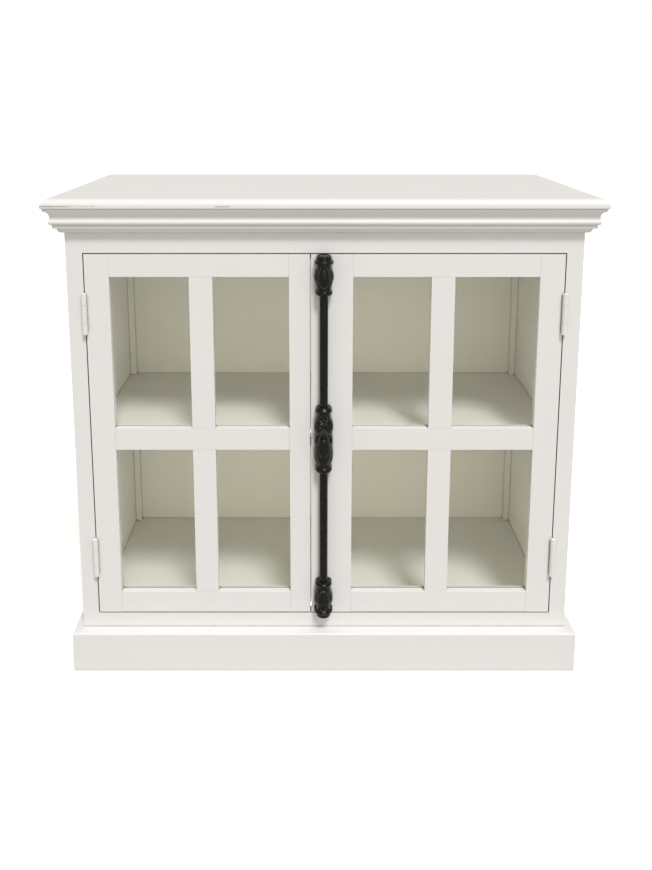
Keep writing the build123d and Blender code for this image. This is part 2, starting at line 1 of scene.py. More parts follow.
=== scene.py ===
import json
import math
import bpy
import bmesh
import numpy as np
from mathutils import Matrix, Vector


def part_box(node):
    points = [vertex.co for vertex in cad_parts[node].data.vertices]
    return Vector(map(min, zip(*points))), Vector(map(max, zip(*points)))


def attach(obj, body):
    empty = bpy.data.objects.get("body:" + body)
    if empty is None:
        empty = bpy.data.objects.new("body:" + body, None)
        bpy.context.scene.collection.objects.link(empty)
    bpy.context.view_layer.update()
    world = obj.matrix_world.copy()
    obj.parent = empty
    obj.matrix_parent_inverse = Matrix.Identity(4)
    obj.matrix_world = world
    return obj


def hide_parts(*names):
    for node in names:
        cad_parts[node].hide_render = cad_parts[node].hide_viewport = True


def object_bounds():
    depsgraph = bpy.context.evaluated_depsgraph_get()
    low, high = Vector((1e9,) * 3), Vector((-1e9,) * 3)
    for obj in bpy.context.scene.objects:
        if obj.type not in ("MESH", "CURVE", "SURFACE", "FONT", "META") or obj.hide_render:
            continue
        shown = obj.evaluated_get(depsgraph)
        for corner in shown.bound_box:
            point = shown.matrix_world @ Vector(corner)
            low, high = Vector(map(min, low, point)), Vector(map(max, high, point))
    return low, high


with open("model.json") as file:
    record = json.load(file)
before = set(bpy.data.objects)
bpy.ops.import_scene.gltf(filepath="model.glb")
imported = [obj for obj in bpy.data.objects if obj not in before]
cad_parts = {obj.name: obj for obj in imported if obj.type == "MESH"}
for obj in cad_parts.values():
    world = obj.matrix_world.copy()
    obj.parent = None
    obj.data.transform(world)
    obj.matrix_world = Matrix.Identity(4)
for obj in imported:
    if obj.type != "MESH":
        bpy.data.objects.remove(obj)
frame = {"nodes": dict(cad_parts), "record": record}
cadLow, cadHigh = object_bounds()
print("frame loaded:", len(frame["nodes"]), "nodes")

mm = 0.001
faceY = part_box("top_face_rail")[0].y
bodyRows = frame["record"]["behaviour"]["bodies"]
bodyOf = {node: body for body, nodes in bodyRows.items() for node in nodes}
scene = bpy.context.scene


cameraSpot = {
    "lens": 35.73,
    "fromCentre": -15.5 * mm,
    "fromFace": 1522.5 * mm,
    "height": 1090.9 * mm,
    "tilt": 9.988,
    "shiftX": 0.0115,
    "shiftY": -0.215,
    "film": 36,
    "nearest": 0.05,
    "furthest": 60,
}


def makeCamera():
    data = bpy.data.cameras.new("camera")
    data.lens = cameraSpot["lens"]
    data.sensor_width = cameraSpot["film"]
    data.shift_x = cameraSpot["shiftX"]
    data.shift_y = cameraSpot["shiftY"]
    data.clip_start = cameraSpot["nearest"]
    data.clip_end = cameraSpot["furthest"]
    camera = bpy.data.objects.new("camera", data)
    camera.location = (cameraSpot["fromCentre"], faceY - cameraSpot["fromFace"], cameraSpot["height"])
    camera.rotation_euler = (math.radians(90 - cameraSpot["tilt"]), 0, 0)
    scene.collection.objects.link(camera)
    scene.camera = camera


lighting = {
    "skyStrength": 0.49,
    "skyColour": (1.0, 0.955, 0.88, 1),
    "backdrop": (1.0, 1.0, 1.0, 1),
    "keyTowards": (0.30, -1.0, 1.55),      # from the cabinet towards the lamp
    "keyStrength": 2.35,
    "keySoftness": 14.0,                   # degrees that the key light spans
    "keyColour": (0.975, 0.985, 1.0),
    "fillSpot": (0.5, -3.6, 1.3),          # a wide lamp in front, for the inside of the case
    "fillSize": 2.6,
    "fillPower": 11.0,
    "fillColour": (1.0, 0.99, 0.965),
    "casePower": 0.74,                     # strip lamps low in the front of each compartment
    "caseColour": (1.0, 0.93, 0.70),
    "caseLength": 0.82,
    "caseWidth": 0.02,
    "caseBehindRail": 22 * mm,
    "caseAboveBoard": 4 * mm,
    "caseFrom": (0, -0.8, -0.6),           # the side that a strip lamp's light comes from
}


def aimed(lamp, direction):
    lamp.rotation_euler = direction.to_track_quat("Z", "Y").to_euler()
    scene.collection.objects.link(lamp)


def makeLight():
    key = bpy.data.lights.new("keyLight", "SUN")
    key.energy = lighting["keyStrength"]
    key.angle = math.radians(lighting["keySoftness"])
    key.color = lighting["keyColour"]
    aimed(bpy.data.objects.new("keyLight", key), Vector(lighting["keyTowards"]))

    fill = bpy.data.lights.new("fillLight", "AREA")
    fill.shape = "DISK"
    fill.size = lighting["fillSize"]
    fill.energy = lighting["fillPower"]
    fill.color = lighting["fillColour"]
    lamp = bpy.data.objects.new("fillLight", fill)
    lamp.location = lighting["fillSpot"]
    aimed(lamp, lamp.location - (cadLow + cadHigh) / 2)

    # what the lit front of a shelf throws up at the back of the case
    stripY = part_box("top_face_rail")[1].y + lighting["caseBehindRail"]
    for board in ("shelf", "bottom_board"):
        strip = bpy.data.lights.new("caseLamp", "AREA")
        strip.shape = "RECTANGLE"
        strip.size = lighting["caseLength"]
        strip.size_y = lighting["caseWidth"]
        strip.energy = lighting["casePower"]
        strip.color = lighting["caseColour"]
        lamp = bpy.data.objects.new("caseLamp", strip)
        lamp.location = (0, stripY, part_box(board)[1].z + lighting["caseAboveBoard"])
        lamp.visible_camera = False
        lamp.visible_glossy = False
        aimed(lamp, Vector(lighting["caseFrom"]))

    world = bpy.data.worlds.new("softStudio")
    scene.world = world
    world.use_nodes = True
    tree = world.node_tree
    tree.nodes.clear()
    output = tree.nodes.new("ShaderNodeOutputWorld")
    sky = tree.nodes.new("ShaderNodeBackground")
    sky.inputs["Color"].default_value = lighting["skyColour"]
    sky.inputs["Strength"].default_value = lighting["skyStrength"]
    seen = tree.nodes.new("ShaderNodeBackground")
    seen.inputs["Color"].default_value = lighting["backdrop"]
    path = tree.nodes.new("ShaderNodeLightPath")
    mix = tree.nodes.new("ShaderNodeMixShader")
    tree.links.new(path.outputs["Is Camera Ray"], mix.inputs[0])
    tree.links.new(sky.outputs[0], mix.inputs[1])
    tree.links.new(seen.outputs[0], mix.inputs[2])
    tree.links.new(mix.outputs[0], output.inputs[0])
    scene.view_settings.view_transform = "Standard"


class Wire:
    # A node's output. The usual operators on it add Math nodes.
    def __init__(self, tree, socket):
        self.tree = tree
        self.socket = socket

    def maths(self, operation, first, second=None):
        node = self.tree.nodes.new("ShaderNodeMath")
        node.operation = operation
        for place, value in enumerate((first, second)):
            feed(self.tree, node.inputs[place], value)
        return Wire(self.tree, node.outputs[0])

    def __add__(self, other):
        return self.maths("ADD", self, other)

    __radd__ = __add__

    def __mul__(self, other):
        return self.maths("MULTIPLY", self, other)

    __rmul__ = __mul__

    def __sub__(self, other):
        return self.maths("SUBTRACT", self, other)

    def __rsub__(self, other):
        return self.maths("SUBTRACT", other, self)

    def absolute(self):
        return self.maths("ABSOLUTE", self)


def feed(tree, socket, value):
    if value is None:
        return
    if isinstance(value, Wire):
        tree.links.new(value.socket, socket)
    else:
        socket.default_value = value


class Finish:
    # A material and its nodes.
    def __init__(self, name):
        self.material = bpy.data.materials.new(name)
        self.material.use_nodes = True
        self.tree = self.material.node_tree
        self.tree.nodes.clear()

    def add(self, kind, settings, inputs, output=0):
        node = self.tree.nodes.new("ShaderNode" + kind)
        for setting, value in settings.items():
            setattr(node, setting, value)
        for socket, value in inputs.items():
            feed(self.tree, node.inputs[socket], value)
        return Wire(self.tree, node.outputs[output])

    def coordinates(self, stretch, turn=(0, 0, 0)):
        place = self.add("TexCoord", {}, {}, "Object")
        seed = self.add("Attribute", {"attribute_name": "boardSeed"}, {}, "Fac")
        apart = self.add("CombineXYZ", {}, {"X": seed * 3.1, "Y": seed * 7.3, "Z": seed * 5.7})
        moved = self.add("VectorMath", {"operation": "ADD"}, {0: place, 1: apart})
        return self.add("Mapping", {}, {"Vector": moved, "Scale": stretch, "Rotation": turn})

    def noise(self, where, scale, detail=3.0, roughness=0.55):
        settings = {"Vector": where, "Scale": scale, "Detail": detail, "Roughness": roughness}
        return self.add("TexNoise", {}, settings, "Fac")

    def smooth(self, value, low, high):
        settings = {"interpolation_type": "SMOOTHSTEP"}
        return self.add("MapRange", settings, {"Value": value, "From Min": low, "From Max": high})

    def blend(self, factor, first, second):
        # the Mix node keeps a socket set for each data type, colours from place 6
        return self.add("Mix", {"data_type": "RGBA"}, {0: factor, 6: first, 7: second}, 2)

    def finish(self, shader):
        output = self.tree.nodes.new("ShaderNodeOutputMaterial")
        self.tree.links.new(shader.socket, output.inputs["Surface"])
        return self.material


paintLook = {
    "colour": (0.800, 0.790, 0.783, 1),
    "warmer": (0.755, 0.740, 0.722, 1),
    "rubbed": (0.330, 0.265, 0.200, 1),    # old ground coat where the paint has worn
    "dirtAndShadeBrown": (0.300, 0.235, 0.160, 1),     # dirt in the joints, and painted shade in every recess and gap
    # painted shade: a slightly darker, warmer copy of the same paint for the pieces inside the case
    "shadedInsideColour": (0.785, 0.778, 0.755, 1),
    "shadedInsideWarmer": (0.730, 0.715, 0.675, 1),
    "strokes": 260.0,                      # brush strokes across a board, per metre
    "strokeStretch": 0.02,                 # their pitch along the board against across
    "coats": 0.22,                         # the pitch of the coats' unevenness against the strokes
    "blotch": 6.0,
    "chips": 75.0,
    "patches": 9.0,
    "strokeDepth": 0.045 * mm,
    "roughness": 0.46,
    "specular": 0.42,
    "edgeReach": 3.5 * mm,
    "shadeReach": 8.0 * mm,
    "warmShare": 0.34,
    "strokeShare": 0.10,
    "dirtAndShadeShare": 0.80,
    "wornShare": 0.72,
    "wornFrom": 2.35,
    "wornTo": 2.75,
    "rubRise": 5.0 * mm,                   # a line rubbed through along the top board's edge
    "rubHalfWidth": 1.1 * mm,
    "rubLength": 5.0,
    "rubWander": 2.2 * mm,
}


def paint(name, grain, wear, inside=False, rubHeight=None):
    look = paintLook
    # pieces inside the case get the painted shade copy of the paint
    fresh = look["shadedInsideColour"] if inside else look["colour"]
    warmer = look["shadedInsideWarmer"] if inside else look["warmer"]
    f = Finish(name)
    stretch = [1.0, 1.0, 1.0]
    stretch["XYZ".index(grain)] = look["strokeStretch"]
    along = f.coordinates(stretch)
    even = f.coordinates((1, 1, 1))
    strokes = f.noise(along, look["strokes"], 3.0, 0.6)
    coats = f.noise(along, look["strokes"] * look["coats"], 2.0, 0.5)
    blotch = f.noise(even, look["blotch"], 3.0, 0.6)
    chips = f.noise(even, look["chips"], 4.0, 0.7)
    patches = f.noise(even, look["patches"], 2.0, 0.5)

    edge = 1 - f.add("AmbientOcclusion", {"inside": True, "only_local": True, "samples": 8},
                     {"Distance": look["edgeReach"]}, "AO")
    # painted shade: one minus the ambient occlusion, high wherever other surfaces stand within eight
    # millimetres
    jointShade = 1 - f.add("AmbientOcclusion", {"samples": 8}, {"Distance": look["shadeReach"]}, "AO")
    worn = f.smooth(
        edge * 1.3 + chips * 0.9 + patches * 1.1, look["wornFrom"] - wear, look["wornTo"] - wear)
    if rubHeight is not None:
        place = f.add("TexCoord", {}, {}, "Object")
        height = f.add("SeparateXYZ", {}, {"Vector": place}, "Z")
        gap = (height - rubHeight + (chips - 0.5) * look["rubWander"]).absolute()
        band = f.smooth(gap, 2.2 * look["rubHalfWidth"], 0.3 * look["rubHalfWidth"])
        dashes = f.smooth(f.noise(even, look["rubLength"], 2.0, 0.5) + chips * 0.12, 0.57, 0.67)
        worn = f.smooth(worn + band * dashes, 0.0, 1.0)
    dirtAndShade = f.smooth(jointShade + chips * 0.2, 0.42, 0.74)

    tone = f.smooth(blotch * 0.6 + coats * 0.4, 0.30, 0.75)
    colour = f.blend(tone * look["warmShare"], fresh, warmer)
    colour = f.blend(f.smooth(strokes, 0.35, 0.75) * look["strokeShare"], colour, warmer)
    # the brown goes into corners, recesses, door gaps and under the mouldings: partly dirt, partly
    # painted shade
    colour = f.blend(dirtAndShade * look["dirtAndShadeShare"], colour, look["dirtAndShadeBrown"])
    colour = f.blend(worn * look["wornShare"], colour, look["rubbed"])

    height = strokes * 0.7 + coats * 0.3 + blotch * 0.3 - worn * 1.0
    bump = f.add("Bump", {}, {
        "Strength": 0.55, "Distance": look["strokeDepth"], "Height": height}, "Normal")
    rough = look["roughness"] - 0.05 + strokes * 0.10 + worn * 0.2
    shader = f.add("BsdfPrincipled", {}, {
        "Base Color": colour, "Roughness": rough, "Normal": bump, "IOR": 1.45,
        "Specular IOR Level": look["specular"]})
    return f.finish(shader)


ironLook = {
    "colour": (0.0045, 0.0045, 0.0048, 1),
    "dusty": (0.012, 0.0115, 0.011, 1),
    # lighter iron: wear on edges and ridges, and also a painted highlight on the carving
    "ridge": (0.105, 0.100, 0.092, 1),
    "roughness": 0.24,
    "specular": 0.31,
    "grain": 900.0,
    "grainDepth": 0.07 * mm,
    "lumps": 190.0,
    "edgeReach": 1.4 * mm,
    "edgeWearAndSheenShare": 0.40,
    "ridgeWearAndSheenShare": 0.60,
}


def iron(name):
    look = ironLook
    f = Finish(name)
    even = f.coordinates((1, 1, 1))
    grain = f.noise(even, look["grain"], 3.0, 0.6)
    lumps = f.noise(even, look["lumps"], 3.0, 0.6)
    edge = 1 - f.add("AmbientOcclusion", {"inside": True, "only_local": True, "samples": 8},
                     {"Distance": look["edgeReach"]}, "AO")
    ridge = f.add("Attribute", {"attribute_name": "ridge"}, {}, "Fac")
    # worn edges and ridges turn lighter: partly wear, partly a painted highlight that brings out the
    # relief
    rubbed = f.smooth(edge + lumps * 0.35, 0.66, 0.98)
    ridgeWearAndSheen = f.smooth(ridge + lumps * 0.3, 0.45, 0.95)
    colour = f.blend(f.smooth(lumps, 0.35, 0.75) * 0.4, look["colour"], look["dusty"])
    colour = f.blend(rubbed * look["edgeWearAndSheenShare"], colour, look["ridge"])
    colour = f.blend(ridgeWearAndSheen * look["ridgeWearAndSheenShare"], colour, look["ridge"])
    height = grain * 0.6 + lumps * 1.2
    bump = f.add("Bump", {}, {
        "Strength": 0.5, "Distance": look["grainDepth"], "Height": height}, "Normal")
    rough = look["roughness"] - 0.06 + grain * 0.08 + lumps * 0.12
    shader = f.add("BsdfPrincipled", {}, {
        "Base Color": colour, "Roughness": rough, "Normal": bump, "IOR": 1.45,
        "Specular IOR Level": look["specular"]})
    return f.finish(shader)


steelLook = {
    "colour": (0.46, 0.44, 0.41, 1),
    "dull": (0.24, 0.22, 0.20, 1),
    "roughness": 0.36,
    "scratch": 1400.0,
    "scratchDepth": 0.05 * mm,
    "scratchStretch": (0.05, 1, 1),
    "scratchTurn": (0.3, 0.5, 0.2),
    "lumps": 240.0,
}


def steel(name):
    look = steelLook
    f = Finish(name)
    along = f.coordinates(look["scratchStretch"], look["scratchTurn"])
    scratch = f.noise(along, look["scratch"], 2.0, 0.5)
    lumps = f.noise(f.coordinates((1, 1, 1)), look["lumps"], 3.0, 0.6)
    colour = f.blend(f.smooth(lumps, 0.35, 0.7), look["colour"], look["dull"])
    bump = f.add("Bump", {}, {
        "Strength": 0.4, "Distance": look["scratchDepth"], "Height": scratch}, "Normal")
    rough = look["roughness"] - 0.08 + lumps * 0.2
    shader = f.add("BsdfPrincipled", {}, {
        "Base Color": colour, "Roughness": rough, "Normal": bump, "Metallic": 1.0})
    return f.finish(shader)


glassLook = {
    "tint": (0.962, 0.969, 0.956, 1),      # passed by each face of a pane
    "ripple": 5.0,
    "rippleDepth": 0.5 * mm,
    "rippleStretch": (1, 1, 0.45),
    "gloss": 0.015,
    "glossColour": (0.95, 1.0, 0.97, 1),
    "index": 1.45,
}


def glass(name):
    look = glassLook
    f = Finish(name)
    ripple = f.noise(f.coordinates(look["rippleStretch"]), look["ripple"], 2.0, 0.4)
    bump = f.add("Bump", {}, {
        "Strength": 0.6, "Distance": look["rippleDepth"], "Height": ripple}, "Normal")
    clear = f.add("BsdfTransparent", {}, {"Color": look["tint"]})
    gloss = f.add("BsdfGlossy", {}, {
        "Color": look["glossColour"], "Roughness": look["gloss"], "Normal": bump})
    # light on its way out of a pane would be mirrored back, so only its outer faces are glossy
    behind = f.add("NewGeometry", {}, {}, "Backfacing")
    share = f.add("Fresnel", {}, {"IOR": look["index"], "Normal": bump}) * (1 - behind)
    shader = f.add("MixShader", {}, {0: share, 1: clear, 2: gloss})
    return f.finish(shader)


floorLook = {
    "colour": (0.93, 0.93, 0.925, 1),
    "shade": (0.91, 0.91, 0.905, 1),
    "bounce": (0.50, 0.49, 0.465, 1),      # what the floor throws back on the cabinet
    "roughness": 0.8,
    "clouds": 1.7,
    "glow": 0.30,                          # a lit studio floor, so that shadows on it stay faint
    "halfWidth": 45.0,
}


def floorFinish(name):
    look = floorLook
    f = Finish(name)
    cloud = f.noise(f.add("TexCoord", {}, {}, "Object"), look["clouds"], 3.0, 0.5)
    colour = f.blend(f.smooth(cloud, 0.3, 0.7), look["colour"], look["shade"])
    seen = f.add("BsdfPrincipled", {}, {
        "Base Color": colour, "Roughness": look["roughness"], "Specular IOR Level": 0.1,
        "Emission Color": (1, 1, 1, 1), "Emission Strength": look["glow"]})
    bounced = f.add("BsdfDiffuse", {}, {"Color": look["bounce"]})
    eye = f.add("LightPath", {}, {}, "Is Camera Ray")
    return f.finish(f.add("MixShader", {}, {0: eye, 1: bounced, 2: seen}))


def seedOf(name):
    # the same small number for a name on every run, 0 to 14
    total = sum((place + 1) * ord(letter) for place, letter in enumerate(name))
    return (total % 97) / 7.0


def markSeed(mesh, name):
    seed = mesh.attributes.new("boardSeed", "FLOAT", "POINT")
    seed.data.foreach_set("value", [seedOf(name)] * len(mesh.vertices))


def addObject(name, mesh):
    piece = bpy.data.objects.new(name, mesh)
    scene.collection.objects.link(piece)
    return piece


def settle(piece, name):
    # the piece with its modifiers applied, as a plain mesh
    graph = bpy.context.evaluated_depsgraph_get()
    mesh = bpy.data.meshes.new_from_object(piece.evaluated_get(graph))
    piece.modifiers.clear()
    old = piece.data
    piece.data = mesh
    mesh.name = name
    bpy.data.meshes.remove(old)
    return piece


# How a copy of one of the frame's own shapes is cleaned and its edges eased.
easing = {
    "mergeReach": 0.002 * mm,
    "flatWithin": 0.4,     # degrees by which faces may differ and still be joined
    "sharperThan": 40.0,   # degrees from which an edge is eased
    "segments": 2,
}


def mergedCopy(node):
    shape = bmesh.new()
    shape.from_mesh(frame["nodes"][node].data)
    bmesh.ops.remove_doubles(shape, verts=shape.verts, dist=easing["mergeReach"])
    bmesh.ops.dissolve_limit(
        shape, angle_limit=math.radians(easing["flatWithin"]), verts=shape.verts, edges=shape.edges)
    bmesh.ops.recalc_face_normals(shape, faces=shape.faces)
    mesh = bpy.data.meshes.new(node)
    shape.to_mesh(mesh)
    shape.free()
    return mesh


def easedPiece(node, material, ease):
    piece = addObject(node + "_shaped", mergedCopy(node))
    piece.data.shade_smooth()
    bevel = piece.modifiers.new("ease", "BEVEL")
    bevel.width = ease
    bevel.segments = easing["segments"]
    bevel.limit_method = "ANGLE"
    bevel.angle_limit = math.radians(easing["sharperThan"])
    bevel.use_clamp_overlap = True
    flat = piece.modifiers.new("flat", "WEIGHTED_NORMAL")    # keeps the wide faces flat
    flat.weight = 100
    flat.keep_sharp = True
    settle(piece, node + "_shaped")
    markSeed(piece.data, node)
    piece.data.materials.clear()
    piece.data.materials.append(material)
    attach(piece, bodyOf[node])
    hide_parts(node)
    return piece


# Grain axis, millimetres by which the edges are eased, and coat of each wooden piece.
wood = {
    "top_board": ("X", 0.5, "slab"),
    "right_side_panel": ("Z", 0.6, "outer"),
    "left_side_panel": ("Z", 0.6, "outer"),
    "bottom_board": ("X", 0.5, "inner"),
    "back_panel": ("Z", 0.4, "inner"),
    "right_rear_post": ("Z", 0.7, "inner"),
    "left_rear_post": ("Z", 0.7, "inner"),
    "shelf": ("X", 0.9, "inner"),
    "shelf_cleats": ("Y", 0.7, "inner"),
    "rear_top_rail": ("X", 0.7, "inner"),
    "rear_bottom_rail": ("X", 0.7, "inner"),
    "top_stretchers": ("X", 0.7, "inner"),
    "door_stop": ("X", 0.7, "inner"),
    "crown_front": ("X", 0.45, "moulded"),
    "crown_right": ("Y", 0.45, "moulded"),
    "crown_left": ("Y", 0.45, "moulded"),
    "bed_front": ("X", 0.45, "moulded"),
    "bed_right": ("Y", 0.45, "moulded"),
    "bed_left": ("Y", 0.45, "moulded"),
    "plinth_front": ("X", 0.6, "moulded"),
    "plinth_right": ("Y", 0.6, "moulded"),
    "plinth_left": ("Y", 0.6, "moulded"),
    "plinth_back": ("X", 0.6, "inner"),
    "right_face_stile": ("Z", 0.5, "outer"),
    "left_face_stile": ("Z", 0.5, "outer"),
    "top_face_rail": ("X", 0.5, "outer"),
    "bottom_face_rail": ("X", 0.5, "outer"),
    "corner_blocks": ("Z", 0.8, "inner"),
}
doorParts = {
    "hinge_stile": ("Z", 0.55, "outer"),
    "top_rail": ("X", 0.55, "outer"),
    "middle_rail": ("X", 0.55, "outer"),
    "bottom_rail": ("X", 0.55, "outer"),
    "bars": ("Z", 0.55, "outer"),
    "beads": ("Z", 0.4, "outer"),
}
for side in ("left", "right"):
    for part, settings in doorParts.items():
        wood[side + "_door_" + part] = settings
wood["left_door_meeting_stile"] = doorParts["hinge_stile"]
wood["right_door_bolt_stile"] = doorParts["hinge_stile"]
coatWear = {"outer": 0.10, "moulded": 0.30, "inner": 0.0, "slab": 0.2}


def makeWood():
    coats = {}
    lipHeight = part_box("top_board")[0].z + paintLook["rubRise"]
    for node, (grain, ease, coat) in wood.items():
        if (grain, coat) not in coats:
            rubbed = lipHeight if coat == "slab" else None
            # the inner coat is the darker, warmer painted shade copy of the paint
            coats[grain, coat] = paint(
                coat + "Paint" + grain, grain, coatWear[coat], coat == "inner", rubbed)
        easedPiece(node, coats[grain, coat], ease * mm)
    print("wooden pieces:", len(wood))


hinge = {
    "nodes": ("frame_hinge_leaves", "left_door_hinge_leaves", "right_door_hinge_leaves", "hinge_pins"),
    "ease": 0.35 * mm,
    "wear": 0.05,
}


def makeHinges():
    coat = paint("hingePaint", "Z", hinge["wear"])
    for node in hinge["nodes"]:
        easedPiece(node, coat, hinge["ease"])
    print("hinge nodes:", len(hinge["nodes"]))


def dressCadNodes(material, nodes):
    # the frame's own shapes stay, and only their objects' material slots change
    for node in nodes:
        for slot in frame["nodes"][node].material_slots:
            slot.link = "OBJECT"
            slot.material = material


def makeFloor():
    half = floorLook["halfWidth"]
    mesh = bpy.data.meshes.new("studioFloor")
    mesh.from_pydata(
        [(-half, -half, 0), (half, -half, 0), (half, half, 0), (-half, half, 0)], [], [(0, 1, 2, 3)])
    mesh.materials.append(floorFinish("floorPaint"))
    ground = addObject("studioFloor", mesh)


# The bolt's castings, shaped on a sheet rolled round the rod.
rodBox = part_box("bolt_upper_rod")
boltX = (rodBox[0].x + rodBox[1].x) / 2
rodRadius = (rodBox[1].x - rodBox[0].x) / 2
boltY = rodBox[0].y + rodRadius
reliefRadius = 15.0      # a place across the sheet is its angle times this, in millimetres
ridgeHalfWidth = 0.62    # of the ridge round a petal, in millimetres

# Each outline is a radius and a height in millimetres, a guide's from its rod end
# to its cap. A petal is: across, height, half width, half height, tilt, bulge, rim, power.
guideCasting = {
    "outline": [
        (10.6, 0), (13.9, 1.9), (15.5, 4.6), (14.9, 7.2), (12.6, 9), (12.4, 13), (14.4, 22),
        (17.2, 33),
        (16.4, 41), (13, 49.5), (12.4, 54), (13.6, 57), (17, 59), (17, 61.5), (14, 64), (13.3, 69.2),
        (12.0, 71.7), (9.0, 72.8), (5.0, 73)],
    "petals": [
        (0, 33, 8.4, 20.5, 0, 0.5, 0.75, 3.0),
        (15.6, 33, 5.4, 18.0, 0, 0.5, 0.70, 2.6),
        (0, 51.2, 3.0, 1.6, 0, 0.5, 0.0, 2.0)],
    "ribbons": [],
    "wave": 0.0,
    "lift": 3.0,        # how much higher the carving stands at the front than at the sides
}
centreCasting = {
    "outline": [
        (10.6, 402), (13.8, 404.2), (15.4, 407.6), (14.9, 411.4), (12.6, 414), (13.4, 419),
        (16.2, 428), (17.0, 438), (16.6, 448), (16.4, 454), (16.9, 463), (16.2, 472),
        (15.4, 478), (16.4, 484), (17.0, 490), (16.2, 499), (13, 507), (12.6, 514),
        (13.4, 518), (15, 520.4), (15.5, 522.6), (13.8, 525.6), (10.6, 529)],
    "petals": [
        (15.8, 434, 5.0, 17.0, 0, 0.5, 0.65, 2.6),       # panels of the lower bulb
        (0, 425, 5.6, 10.5, 0, 0.4, 0.55, 2.6),
        (12.2, 465, 3.2, 6.0, -14, -0.7, 0.0, 2.0),      # hollows inside the ribbon loops
        (0, 477.2, 2.7, 2.7, 0, -0.6, 1.1, 2.0),         # the eyelet they spring from
        (8.8, 500, 4.3, 2.5, 24, 1.5, 0.35, 2.0),        # leaves of the upper bulb
        (15.5, 499, 3.6, 2.6, -26, 1.2, 0.35, 2.0),
        (5.2, 494, 3.6, 1.9, 48, 1.2, 0.35, 2.0),
        (11.5, 493.4, 4.0, 2.0, 36, 1.3, 0.35, 2.0),
        (18.2, 492, 3.7, 2.1, 30, 1.1, 0.35, 2.0),
        (6.8, 488, 3.4, 1.6, 40, 1.0, 0.3, 2.0),
        (14.0, 487, 3.8, 1.7, 30, 1.1, 0.3, 2.0),
        (21.0, 485.5, 3.4, 1.9, 20, 0.9, 0.3, 2.0),
        (0, 499.6, 1.7, 1.9, 0, 1.3, 0.0, 2.0),          # beads down the middle
        (0, 491.2, 1.6, 2.2, 0, 1.2, 0.0, 2.0),
        (0, 506.0, 2.2, 1.2, 0, 0.8, 0.0, 2.0)],
    "ribbons": [
        (1.15, 1.0, [(0, 484.6), (3.4, 482.2), (7.2, 478), (12.4, 475.4), (16.6, 469.5), (16.4, 461),
                     (12.4, 456), (8.6, 460.5), (7.6, 467.5), (5.6, 474), (3.2, 478.4), (0, 481)]),
        (0.9, 0.9, [(10.4, 457), (12.8, 449), (12.6, 440), (10.2, 431), (8.2, 423), (7.8, 416)]),
        (0.7, 0.8, [(0, 511.6), (4.0, 510.8), (7.6, 508), (9.4, 504.6)])],
    "wave": 0.28,
    "lift": 5.5,
}
castingDetail = {"around": 132, "rings": 0.42, "side": 5, "back": 9}
# What is cut out of the castings, in millimetres, heights from a guide's rod end.
cuts = {
    "boreGap": 0.35,
    "guideBore": 52.0,
    "slotLow": 17.5,
    "slotHalf": 6.5,
    "windowHalf": 6.2,
    "shaftHole": 4.05,
    "sharperThan": 42.0,    # degrees from which a casting's edge is shaded sharp
}


def curveThrough(points, steps):
    # a smooth line through the points, as Catmull and Rom drew them
    ends = [points[0]] + list(points) + [points[-1]]
    spots = []
    for a, b, c, d in zip(ends, ends[1:], ends[2:], ends[3:]):
        a, b, c, d = (np.array(point, float) for point in (a, b, c, d))
        for step in range(steps):
            t = step / steps
            spots.append(0.5 * (2 * b + (c - a) * t + (2 * a - 5 * b + 4 * c - d) * t * t
                                + (3 * b - a - 3 * c + d) * t ** 3))
    spots.append(np.array(points[-1], float))
    return np.array(spots)


def petalRelief(petal, across, height):
    # the raised panel of a petal, and the thin ridge round it
    place, level, halfWidth, halfHeight, tilt, bulge, rim, power = petal
    turn = math.radians(tilt)
    x = np.abs(across) - place if place else across
    z = height - level
    u = (x * math.cos(turn) + z * math.sin(turn)) / halfWidth
    v = (z * math.cos(turn) - x * math.sin(turn)) / halfHeight
    q = (np.abs(u) ** power + np.abs(v) ** power) ** (1 / power)
    inside = np.clip(1 - q * q, 0, 1) ** 0.6
    edge = np.exp(-((q - 1) * halfWidth / ridgeHalfWidth) ** 2)
    return bulge * inside, rim * edge


def ribbonRelief(ribbon, across, height):
    depth, halfWidth, points = ribbon
    line = curveThrough(points, 6)
    nearest = np.full(across.shape, 1e9)
    for (x0, z0), (x1, z1) in zip(line, line[1:]):
        dx, dz = x1 - x0, z1 - z0
        t = ((np.abs(across) - x0) * dx + (height - z0) * dz) / (dx * dx + dz * dz)
        t = np.clip(t, 0, 1)
        gap = np.hypot(np.abs(across) - x0 - t * dx, height - z0 - t * dz)
        nearest = np.minimum(nearest, gap)
    return depth * np.exp(-(nearest / halfWidth) ** 2)


def carving(casting, across, levels):
    # the whole relief, and its ridges alone, at places on the sheet
    heights = levels - casting["lift"] * np.cos(across / reliefRadius)
    raised = np.zeros(across.shape)
    ridges = np.zeros(across.shape)
    for petal in casting["petals"]:
        panel, ridge = petalRelief(petal, across, heights)
        raised += panel
        ridges = np.maximum(ridges, ridge)
    for ribbon in casting["ribbons"]:
        ridges = np.maximum(ridges, ribbonRelief(ribbon, across, heights))
    if casting["wave"]:
        # fine veins on the leaves
        veins = np.sin(across * 2.3 + np.abs(across) * 0.6 + heights * 1.9)
        raised += casting["wave"] * veins * np.exp(-((heights - 494) / 8.5) ** 4)
    return raised + ridges, ridges


